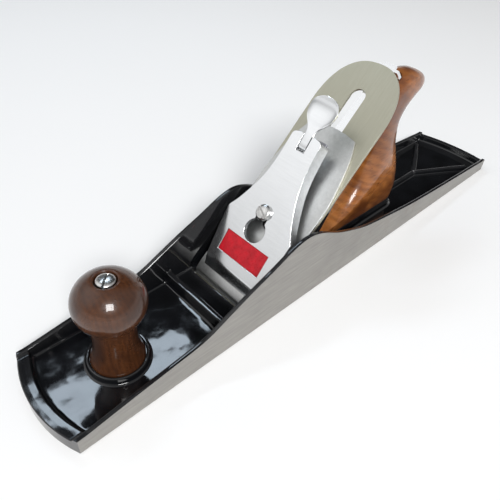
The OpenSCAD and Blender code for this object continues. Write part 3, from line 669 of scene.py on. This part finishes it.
def raised_parts(shells):
    """What stands on the tray's floor."""
    # Ring round the knob's foot, flared into the floor
    shells.lathe([(0, ROOT_Z), (21.2, ROOT_Z), (20.9, 4.02), (19.9, 4.3), (19.3, 4.9), (19.05, 6.3),
                  (19, 7.6), (18.8, 8.2), (18.3, 8.5), (17.7, 8.4), (17.2, 7.8), (17.1, 6.1), (0, KNOB_Z)],
                 96, Matrix.Translation((KNOB_X, 0, 0)))
    # Platform of the tote
    rings = []
    for r, z in ((15.8, ROOT_Z), (15.4, 4.02), (14.2, 4.5), (13.5, 5.4), (13.15, 6.8), (13, 10.2),
                 (12.7, 10.8), (12.2, 11)):
        rings.append([(px, py, z) for px, py in arc(-1, 0, r, -90, 90, 20) + arc(-89, 0, r, 90, 270, 20)])
    shells.rings(rings)
    # Ribs of the heel: a straight one that forks into two
    section = [(-3.4, ROOT_Z), (-2.9, 4.02), (-2.2, 4.6), (-1.75, 6.2), (-1.25, 7.25), (-0.5, 7.5),
               (0.5, 7.5), (1.25, 7.25), (1.75, 6.2), (2.2, 4.6), (2.9, 4.02), (3.4, ROOT_Z)]
    fork_x = -155
    arm = math.atan2(28, 53)
    for angle, start_x, length in ((0, -98, 58), (arm, fork_x, 60), (-arm, fork_x, 60)):
        # Each station along the rib, and how much of its height is taken off there
        ends = ((-0.4, 0.75), (0.4, 0.3), (1.6, 0), (length / 2, 0), (length - 3.2, 0), (length - 1.2, 0.3),
                (length, 0.85))
        shells.rings([[(start_x - d * math.cos(angle) - v * math.sin(angle),
                        d * math.sin(angle) - v * math.cos(angle),
                        ROOT_Z + (z - ROOT_Z) * (1 - drop)) for v, z in section] for d, drop in ends])
    # Seat of the frog: a front bar behind the mouth and three rails
    shells.prism([(60.9, 3.5), (82.4, 3.5), (79.1, 7), (62, 7)], -25, 25, 0.4)
    for y, half in ((-13, 7.5), (13, 7.5), (0, 5.3)):
        z = 13.8 if y == 0 else 14
        shells.prism([(31.5, 3.5), (60.9, 3.5), (60.9, 12.6), (59.8, z), (32.6, z), (31.5, 12.6)],
                     y - half, y + half, 0.5)


def bare_metal(centre, normal):
    """Whether a face is on the ground outside of the cheeks or on the sole; all others are japanned."""
    cheek = abs(normal.y) > 0.9 and abs(centre.y) > HALF_W - 0.2
    sole = normal.z < -0.5 and centre.z < 0.5
    sole_edge = normal.z < -0.2 and centre.z < 0.45
    return cheek or sole or sole_edge


def casting():
    shells = Shells()
    shells.verts, shells.faces = body_shell()
    raised_parts(shells)
    obj = finish_mesh("casting", shells.verts, shells.faces, "plane_body", [ground, japan], ["body_casting"],
                      40)
    for polygon in obj.data.polygons:
        polygon.material_index = 0 if bare_metal(polygon.center / MM, polygon.normal) else 1


casting()


# ---- Front knob ----
KNOB_CURVE = [(16.6, 0), (16.8, 1.8), (16.2, 4), (14.8, 8), (13.6, 13), (13.2, 19), (13.3, 26), (14.2, 33)]
BALL_R, BALL_RISE, BALL_Z = 21.2, 18.0, 48.6


def front_knob():
    """Foot, waist and ball, with the nut's recess and the rod's hole down the middle."""
    first, last = math.radians(-44), math.radians(68)
    ball = [(BALL_R * math.cos(a), BALL_Z + BALL_RISE * math.sin(a))
            for a in (first + (last - first) * i / 36 for i in range(37))]
    bore_r = 3.6
    rim = [(7.4, 65.28), (6.9, 65.2), (6.5, 64.8), (6.35, 64), (6.3, 59), (6.2, 54), (bore_r, 53.9),
           (bore_r, 0.2)]
    outline = [(bore_r, 0.2), (15.9, 0.15)] + curve(KNOB_CURVE, 5)[1:] + ball + rim
    shells = Shells().lathe(outline, 96, Matrix.Translation((KNOB_X, 0, KNOB_Z)))
    finish_mesh("knob", shells.verts, shells.faces, "plane_body", [knob_wood], ["front_knob"],
                50)


front_knob()


# ---- Rear tote ----
# From the sole up: front point, back point, half thickness, and how far front and back are rounded
TOTE_RUNGS = [
    (12, 11.2, -101, 11.2, 12.6, 12.6, 12.6),
    (12.2, 12.4, -101.5, 13, 13, 13, 13),
    (11.5, 14.6, -103, 17, 13, 13, 14),
    (7, 17.3, -104.2, 21, 13, 13, 15),
    (-6, 18.7, -104.7, 25, 13, 14, 16),
    (-20, 22, -103.8, 30, 13, 16, 17),
    (-35, 31, -102, 36, 13, 17, 17),
    (-46, 43, -98, 46, 13, 17, 17),
    (-52, 56, -92, 58, 13, 17, 17),
    (-53, 68, -86.2, 69, 13, 16, 16),
    (-49.5, 80, -83, 80, 13, 15.5, 15.5),
    (-46, 90, -82.6, 90.5, 13, 16, 16.5),
    (-44.1, 100, -89.5, 99.4, 13, 17, 21),
    (-45.3, 107, -99.2, 105.3, 13, 18, 26),
    (-49, 113.5, -106.8, 109.4, 12.8, 19, 28),
    (-54.5, 118.4, -107.6, 113.8, 12.2, 20, 28),
    (-61, 121.6, -101.5, 118.6, 10.8, 17, 18),
    (-67.5, 123.8, -94.5, 122, 8, 10, 11),
    (-73.5, 124.9, -87.5, 124.4, 4, 5.5, 5.5),
    (-78, 125.2, -82.5, 125.2, 1, 1.9, 1.9),
]


def closed_mesh(name, shells, gap):
    """The shells in metres, with points closer than gap joined and the faces turned outwards."""
    mesh = raw_mesh(name, shells.verts, shells.faces)
    bm = bmesh.new()
    bm.from_mesh(mesh)
    bmesh.ops.remove_doubles(bm, verts=bm.verts, dist=gap)
    bmesh.ops.recalc_face_normals(bm, faces=bm.faces)
    bm.to_mesh(mesh)
    bm.free()
    return mesh


def cut_mesh(mesh, cutter):
    """mesh, in metres, minus the shells of cutter."""
    tool = bpy.data.objects.new("tool", closed_mesh("tool", cutter, 1e-7))
    work = bpy.data.objects.new("work", mesh)
    for obj in (tool, work):
        bpy.context.scene.collection.objects.link(obj)
    cut = work.modifiers.new("cut", "BOOLEAN")
    cut.operation, cut.object, cut.solver = "DIFFERENCE", tool, "EXACT"
    bpy.context.view_layer.update()
    out = bpy.data.meshes.new_from_object(work.evaluated_get(bpy.context.evaluated_depsgraph_get()))
    for obj in (tool, work):
        bpy.data.objects.remove(obj)
    return out


def tote_rod_frame():
    """Local Z runs up the tote's rod."""
    return Matrix.Translation((TOTE_ROD_X, 0, TOTE_ROD_Z)) @ Matrix.Rotation(TOTE_ROD_LEAN, 4, "Y")


def rear_tote():
    """Rounded sections along the rungs, less the nut's recess and the toe screw's."""
    rungs = curve(TOTE_RUNGS, 5)
    quarter, flats, fullness = 9, 4, 0.86
    rings = []
    for fx, fz, bx, bz, half, front_r, back_r in rungs:
        length = math.hypot(fx - bx, fz - bz)
        ux, uz = (bx - fx) / length, (bz - fz) / length
        scale = min(1.0, length / (front_r + back_r))
        front_r, back_r = front_r * scale, back_r * scale
        side = []
        for i in range(quarter + 1):
            a = math.pi / 2 * i / quarter
            side.append((front_r * (1 - math.cos(a)), half * math.sin(a) ** fullness))
        for i in range(1, flats):
            side.append((front_r + (length - front_r - back_r) * i / flats, half))
        for i in range(quarter, -1, -1):
            a = math.pi / 2 * i / quarter
            side.append((length - back_r * (1 - math.cos(a)), half * math.sin(a) ** fullness))
        around = side + [(d, -y) for d, y in reversed(side[1:-1])]
        rings.append([(fx + ux * d, y, fz + uz * d) for d, y in around])
    mesh = closed_mesh("shape", Shells().rings(rings), 1e-6)
    cutter = Shells()
    cutter.lathe([(0, 112), (7.3, 112), (7.3, 140), (0, 140)], 48, tote_rod_frame())
    cutter.lathe([(0, 15.4), (5.4, 15.4), (5.4, 60), (0, 60)], 48,
                 Matrix.Translation((TOTE_SCREW_X, 0, 0)))
    finish_object("tote", cut_mesh(mesh, cutter), "plane_body", [tote_wood], ["rear_tote"], 42)


rear_tote()


# ---- Turned steel: rods, pins, screws and their heads ----
def turned(name, node, body_name, material, parts, heads=()):
    """parts are (matrix, r, z0, z1) cylinders with eased ends, heads are screw_head arguments."""
    shells = Shells()
    for matrix, r, z0, z1 in parts:
        e = min(0.35, r * 0.15)
        shells.lathe([(0, z0), (r - e, z0), (r, z0 + e), (r, z1 - e), (r - e, z1), (0, z1)], 40, matrix)
    for head in heads:
        screw_head(shells, *head)
    finish_mesh(name, shells.verts, shells.faces, body_name, [material], [node], 38)


def at(x, y, z):
    return Matrix.Translation((x, y, z))


def spin(degrees):
    return Matrix.Rotation(math.radians(degrees), 4, "Z")


def flip():
    return Matrix.Rotation(math.pi, 4, "X")


def on_bed(s, w, turn=0):
    """Local Z stands off the bed, at s up it and w above the iron."""
    return bed() @ Matrix.Translation((s, 0, w)) @ spin(turn)


turned("knob_stud", "knob_rod", "plane_body", zinc_steel, [(at(KNOB_X, 0, 0), 3, 1.5, 62)])
turned("knob_cap_nut", "knob_nut", "plane_body", bright_steel,
       [(at(KNOB_X, 0, 60), 4.7, 0, 8.1)],
       [(at(KNOB_X, 0, 68) @ spin(42), 5.6, 3.6, 1.3, 1.9, 0.5)])
turned("tote_stud", "tote_rod", "plane_body", zinc_steel, [(tote_rod_frame(), 3, 0, 116)])
turned("tote_cap_nut", "tote_nut", "plane_body", bright_steel, [],
       [(tote_rod_frame() @ at(0, 0, 112) @ spin(30), 7, 7.6, 1.8, 2.6, 0.4)])
turned("tote_toe_bolt", "tote_toe_screw", "plane_body", bright_steel,
       [(at(TOTE_SCREW_X, 0, 0), 2.5, 1.5, 15.6)],
       [(at(TOTE_SCREW_X, 0, 15.4) @ spin(35), 4.6, 2.6, 1.2, 1.2)])
turned("frog_bolts", "frog_screws", "plane_body", bright_steel,
       [(at(FROG_SCREW_X, y, 0), 3, 1.5, 20.8) for y in (-FROG_SCREW_Y, FROG_SCREW_Y)],
       [(at(FROG_SCREW_X, y, 20.6) @ spin(20 + 3 * y), 5, 4.2, 1.4, 1.6)
        for y in (-FROG_SCREW_Y, FROG_SCREW_Y)])
turned("adjust_bolt", "frog_adjust_screw", "frog_adjuster", bright_steel,
       [(along_x(FROG_BACK_X, ADJUST_Z), 3, -2.2, 20),
        (along_x(FROG_BACK_X, ADJUST_Z), 5, -4.7, -2.3)],
       [(along_x(FROG_BACK_X - 2.35, ADJUST_Z) @ flip(), 5, 5, 1.4, 1.8)])
turned("plate_bolt", "frog_plate_screw", "frog_unit", bright_steel,
       [(along_x(PLATE_BOLT_X, PLATE_BOLT_Z), 2, -0.1, 8)],
       [(along_x(PLATE_BOLT_X, PLATE_BOLT_Z) @ flip(), 3.6, 2.4, 1, 1.1)])
turned("wheel_stud", "depth_stud", "frog_unit", zinc_steel,
       [(along_x(0, STUD_Z), 4, 5, FROG_BACK_X + 7.4)])
turned("cap_bolt", "lever_cap_screw", "frog_unit", bright_steel,
       [(on_bed(SCREW_S, 0), 4, -9, HEAD_W + 0.5)],
       [(on_bed(SCREW_S, HEAD_W, 62), 5.5, 3.9, 1.2, 2.0, 0.7)])
turned("iron_bolt", "cap_iron_screw", "cutter_unit", bright_steel,
       [(on_bed(CAP_IRON_SCREW_S, 2) @ flip(), 4, 0, 4.3)],
       [(on_bed(CAP_IRON_SCREW_S, 0) @ at(0, 0, -2) @ flip(), 7.5, 2.6, 1.6, 1.2)])


# ---- Depth wheel ----
def depth_wheel():
    """Knurled wheel with a dished face, and its grooved hub."""
    pin_x = EDGE_X - YOKE_S * C45 - YOKE_DEPTH * C45
    x0, x1 = 8.6, 15.2     # the wheel's two faces
    hub_end, tail = pin_x - 2.7, pin_x + 6
    profile = [(4.1, x0 + 1.6), (9.4, x0 + 1.6), (9.8, x0 + 1.2), (11.6, x0), (14.4, x0), (15.1, x0 + 0.5),
               (15.5, x0 + 1.1), (15.5, x1 - 1.1), (15.1, x1 - 0.5), (14.4, x1), (8.6, x1), (8.1, x1 + 0.3),
               (8, x1 + 0.8), (8, hub_end - 0.3), (7.7, hub_end), (5.7, hub_end), (5.5, hub_end + 0.3),
               (5.5, tail - 2), (5.7, tail - 1.8), (7.7, tail - 1.8), (8, tail - 1.5), (8, tail - 0.3),
               (7.7, tail), (4.1, tail), (4.1, x0 + 1.6)]
    knurl = 36

    def rim(r, a):
        return r - 0.45 * abs(math.sin(knurl * a / 2)) if r > 15.3 else r

    shells = Shells().lathe(profile, knurl * 8, along_x(0, STUD_Z), rim)
    finish_mesh("adjusting_wheel", shells.verts, shells.faces, "depth_wheel", [brass], ["depth_nut"],
                40)


depth_wheel()


# ---- Cutter ----
def cutter_iron():
    """A plate with a rounded top, a long slot and a ground edge."""
    round_l, n, half = 42.6, 2.4, IRON_W / 2
    edge_s, skin = 0.12, 0.03
    shoulder = IRON_L - round_l
    top = []
    for i in range(25):
        a = math.sin(math.pi / 2 * i / 24)
        top.append((shoulder + round_l * a, half * max(1 - a ** n, 0.0) ** (1 / n)))
    outline = mirrored([(edge_s, half)] + top)
    slot = slot_outline(42, IRON_L - 26, 5.6, 16)
    bevel_s = edge_s + IRON_T / math.tan(math.radians(25))

    def grind(x, y, z):
        if z < -0.05 and x < bevel_s:
            z = max(z, -skin - (IRON_T - skin) * max(x - edge_s, 0) / (bevel_s - edge_s))
        return x, y, z

    verts, faces = plate_mesh([outline, list(reversed(slot))], -IRON_T, 0, 0.14, [bevel_s, 1.5, 0.6],
                              grind, 1)
    finish_mesh("cutting_iron", verts, faces, "cutter_unit", [iron_steel], ["cutter_iron"],
                32, bed())


def cap_iron():
    """A plate with a hump behind its edge, a hole for the lever cap screw and one for the yoke's finger."""
    taper, length, half = 88, 140, IRON_W / 2 - 0.1
    side = [(s, half - 9 * ((s - taper) / (length - taper - 4)) ** 1.6) for s in range(taper, length - 8, 4)]
    end = [(length - 2.6, 19.3), (length - 1.9, 16.5), (length - 0.6, 10), (length - 0.1, 4)]
    outline = mirrored([(1.7, half)] + side + end)
    screw_slot = slot_outline(SCREW_S - 3, SCREW_S + 3, 6)
    window = [(84.1, -5), (88.3, -5), (88.3, 5), (84.1, 5)]
    under = curve([(1.6, 0.05), (5, 1.1), (10, 1.7), (16, 1.5), (22, 0.7), (28, 0.02)], 5)

    def hump(x, y, z):
        rise = table_value(under, x)
        thick = 0.3 + 1.7 * smooth_step((x - 1.6) / 3.5)
        return x, y, rise + 0.02 + z * (thick / 2)

    cuts = [1.7 + 0.9 * i for i in range(1, 31)]
    verts, faces = plate_mesh([outline, list(reversed(screw_slot)), window], 0, 2, 0.3, cuts, hump)
    finish_mesh("chip_breaker", verts, faces, "cutter_unit", [cap_iron_steel], ["cap_iron"],
                32, bed())


cutter_iron()
cap_iron()


# ---- Lever cap ----
CAP_HALF, NECK_HALF = 29.5, 12.5
CAP_WALL = 8.5         # depth of the side walls below the plate
NOTCH = 3.5            # half the width of the cam's slot
CAP_EDGE = [(46, CAP_HALF), (48.5, CAP_HALF - 1.5), (53, CAP_HALF - 4.3), (60, CAP_HALF - 7.7),
            (68, CAP_HALF - 11.1), (76, NECK_HALF + 3.2), (84, NECK_HALF + 1.5), (94, NECK_HALF + 0.3),
            (CAP_L - 3, NECK_HALF - 0.4)]
CAP_LOW_EDGE = [(0.1, CAP_HALF - 4.6), (12, CAP_HALF - 3.2), (30, CAP_HALF - 1.2), (45, CAP_HALF - 0.05)]
CAP_TOP_EDGE = [(CAP_L - 1.6, NECK_HALF - 1.1), (CAP_L - 0.7, NECK_HALF - 2.6), (CAP_L - 0.05, NECK_HALF - 6)]
WALL_P = 22            # where the side walls begin
BADGE_P0, BADGE_P1, BADGE_HALF = 16, 32, 19.5
LUG_Y, LUG_HALF = 6.95, 2.95


def side_wall(half, side):
    """Rings of one side wall, which follows the plate's edge and is deeper towards the top."""
    depth = [(WALL_P, 0.4), (66, CAP_WALL - 1), (90, CAP_WALL), (CAP_L, CAP_WALL)]
    line = [(WALL_P, table_value(CAP_LOW_EDGE, WALL_P))]
    line += [(x, y) for x, y in half if x > WALL_P - 0.1 and y > NECK_HALF - 1.5]
    rings = []
    for i, (x, y) in enumerate(line):
        x0, y0 = line[max(i - 1, 0)]
        x1, y1 = line[min(i + 1, len(line) - 1)]
        d = math.hypot(x1 - x0, y1 - y0)
        nx, ny = -(y1 - y0) / d, (x1 - x0) / d
        low = -table_value(depth, x)
        rings.append([(x + nx * out, side * (y + ny * out), z) for out, z in (
            (0.03, 1.8), (0.03, low + 0.5), (-0.4, low), (-2.5, low), (-3, low + 0.5), (-3, 1.8))])
    return rings


def lever_cap():
    half = CAP_LOW_EDGE + curve(CAP_EDGE, 5) + CAP_TOP_EDGE
    outline = mirrored(half + [(CAP_L - 0.05, NOTCH), (CAM_P - 4.8, NOTCH)])
    neck = math.degrees(math.asin(KEY_NECK_R / KEY_HEAD_R))
    keyhole = (arc(KEY_P, 0, KEY_NECK_R, -90, 90, 14)
               + arc(KEY_P - KEY_DROP, 0, KEY_HEAD_R, neck, 360 - neck, 30))
    recess = rectangle(BADGE_P0, BADGE_P1, BADGE_HALF)

    def thin(x, y, z):
        """Thins the plate towards its lower edge."""
        if z > 1.0:
            z -= 2.0 * (1 - smooth_step(x / 9.0))
        return x, y, z

    verts, faces = plate_mesh([outline, list(reversed(keyhole)), recess], 0, CAP_PLATE, 0.3,
                              range(1, 11), thin)
    shells = Shells().add(verts, faces)
    # Floor of the badge's recess
    shells.prism([(15.2, 0.3), (32.8, 0.3), (32.8, 2.0), (15.2, 2.0)], -20.3, 20.3, 0.1)
    for side in (1, -1):
        shells.rings(side_wall(half, side))
    # Lugs of the cam's pin
    for side in (1, -1):
        shells.prism([(CAM_P - 4.4, -8.4), (CAM_P + 4.4, -8.4), (CAM_P + 4.4, 0.8), (CAM_P - 4.4, 0.8)],
                     side * LUG_Y - LUG_HALF, side * LUG_Y + LUG_HALF, 0.3)
    mesh = raw_mesh("cap", shells.verts, shells.faces, cap_frame())
    obj = finish_object("cap", mesh, "cap_unit", [nickel, nickel_shaded_side], ["lever_cap"], 32)
    # The plate's top is polished; its edges and side walls get a rougher, darker copy of the nickel, partly a
    # duller finish and partly painted shade for the dimmer light they mirror
    face = cap_frame().to_3x3() @ Vector((0, 0, 1))
    for polygon in obj.data.polygons:
        polygon.material_index = 0 if polygon.normal.dot(face) > 0.5 else 1


def badge():
    """A plain red panel with eased edges."""
    panel = rectangle(16.15, 31.85, 19.35)
    verts, faces = plate_mesh([panel], 1.9, 2.9, 0.2)
    finish_mesh("red_panel", verts, faces, "cap_unit", [red_enamel], ["badge_panel"], 40,
                cap_frame())


lever_cap()
badge()


# ---- Cam lever ----
# Place along the lever from its pin, half width, top at the middle, top at the edge, under side
CAM_STATIONS = [
    (-3.4, 3.05, 0.6, 0.4, -0.6),
    (-3.2, 3.1, 2.3, 2.1, -2.0),
    (-2.2, 3.1, 3.5, 3.3, -3.2),
    (0, 3.1, 4.0, 3.8, -3.55),
    (2.4, 3.1, 4.1, 3.9, -2.7),
    (5, 3.1, 4.2, 4.0, -0.2),
    (8, 3.15, 4.2, 4.0, 1.0),
    (10.5, 3.6, 4.0, 3.9, 1.3),
    (12.5, 4.7, 3.7, 3.8, 1.3),
    (14.5, 6.4, 3.3, 3.8, 1.2),
    (17, 8.4, 2.8, 3.8, 0.9),
    (20, 10.0, 2.4, 3.9, 0.6),
    (23.5, 10.8, 2.2, 4.0, 0.5),
    (27, 10.75, 2.5, 4.2, 0.8),
    (30, 9.4, 3.3, 4.5, 1.6),
    (32, 7.0, 4.1, 4.7, 2.6),
    (33.2, 4.0, 4.6, 4.7, 3.3),
    (33.6, 1.6, 4.5, 4.5, 3.7),
]


def cam_lever():
    """Sections along the lever, with a dished top."""
    rings = []
    fill = math.pi / 2 * 0.97
    for x, half, mid, rim, low in curve(CAM_STATIONS, 3):
        ring = []
        for i in range(13):
            t = -1 + 2 * i / 12
            z = mid + (rim - mid) * t * t - 0.35 * max(abs(t) - 0.8, 0) ** 2 / 0.04
            ring.append((x, half * math.sin(t * fill) / math.sin(fill), z))
        edge = (rim + low) / 2
        for t, z in ((1.02, edge), (0.9, low + 0.25), (0.6, low), (0.0, low), (-0.6, low), (-0.9, low + 0.25),
                     (-1.02, edge)):
            ring.append((x, half * t, z))
        rings.append(ring)
    shells = Shells().rings(rings, cap_frame() @ Matrix.Translation((CAM_P, 0, CAM_Q)))
    finish_mesh("cam_handle", shells.verts, shells.faces, "cam_unit", [nickel], ["cam_lever"],
                50)


cam_lever()


# ---- CAD pieces that keep their shape ----
KEPT = {
    "frog": japan_frog, "frog_washers": zinc_steel, "frog_adjust_plate": zinc_steel, "yoke": dark_steel,
    "yoke_pin": bright_steel, "lateral_lever": nickel, "lateral_rivet": bright_steel,
    "lateral_disc": bright_steel, "disc_rivet": bright_steel, "cam_pin": bright_steel,
    "cap_spring": spring_steel, "spring_rivet": bright_steel,
}
for node, material in KEPT.items():
    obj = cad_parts[node]
    for place in obj.material_slots:
        place.material = material
    if not obj.material_slots:
        obj.data.materials.append(material)


# ---- Floor, light and camera ----
def pale_floor():
    mesh = bpy.data.meshes.new("floor")
    mesh.from_pydata([(-6, -6, 0), (6, -6, 0), (6, 6, 0), (-6, 6, 0)], [], [(0, 1, 2, 3)])
    n = Nodes("floor")
    paper = n.noise(3, 2, 0.5)
    mesh.materials.append(n.set(Base_Color=n.mix(paper, (0.93, 0.93, 0.93), (0.95, 0.95, 0.95)),
                                Roughness=0.9, Specular_IOR_Level=0.1))
    floor = bpy.data.objects.new("floor", mesh)
    floor.location.z = -0.0004
    bpy.context.scene.collection.objects.link(floor)


def room():
    """A grey room: dark on the side that the tray's floor mirrors, bright where the lever cap and the iron
    mirror it, with a pale band along the horizon."""
    world = bpy.data.worlds.new("studio")
    world.use_nodes = True
    g = Graph(world.node_tree)
    view = g.tree.nodes.new("ShaderNodeTexCoord").outputs["Generated"]
    azimuth, rise = math.radians(-136), math.radians(36)
    dark_way = (math.cos(rise) * math.cos(azimuth), math.cos(rise) * math.sin(azimuth), math.sin(rise))
    bright_way = (0.557, -0.435, 0.707)
    dark = g.ramp(g.facing(view, dark_way), (0.62, 1.0), (0.84, 0.06))
    bright = g.ramp(g.facing(view, bright_way), (0.8, 0.42), (0.985, 1.1))
    horizon = g.ramp(g.axis(view, "Z"), (0.14, 0.9), (0.38, 0.0))
    light = g.mix(1.0, g.mix(1.0, dark, bright, "MULTIPLY"), horizon, "LIGHTEN")
    g.link(light, g.tree.nodes["Background"].inputs["Color"])
    bpy.context.scene.world = world


def area(name, place, rotation, size, power, colour=(1, 1, 1)):
    data = bpy.data.lights.new(name, "AREA")
    data.shape = "RECTANGLE"
    data.size, data.size_y = size
    data.energy = power
    data.color = colour
    obj = bpy.data.objects.new(name, data)
    obj.location = place
    obj.rotation_euler = rotation
    bpy.context.scene.collection.objects.link(obj)


def camera():
    data = bpy.data.cameras.new("camera")
    data.lens = 35.035
    data.shift_x, data.shift_y = 0.0464, -0.0246
    data.clip_start = 0.01
    obj = bpy.data.objects.new("camera", data)
    obj.location = (0.250585, 0.171006, 0.254784)
    obj.rotation_euler = (0.86485, -0.03937, 2.41371)
    bpy.context.scene.collection.objects.link(obj)
    bpy.context.scene.camera = obj
    bpy.context.scene.view_settings.view_transform = "Standard"


pale_floor()
room()
# A faint strip that the toe's tray mirrors, and a soft key from high up on the camera's side
area("strip", (-0.105, -0.625, 1.0), (0, 0, math.radians(-10)), (0.47, 0.13), 1.8, (0.74, 0.87, 1.0))
key_place = Vector((0.9, 1.5, 1.7))
area("key", key_place, (-key_place).to_track_quat("-Z", "Y").to_euler(), (0.8, 0.8), 46)
camera()
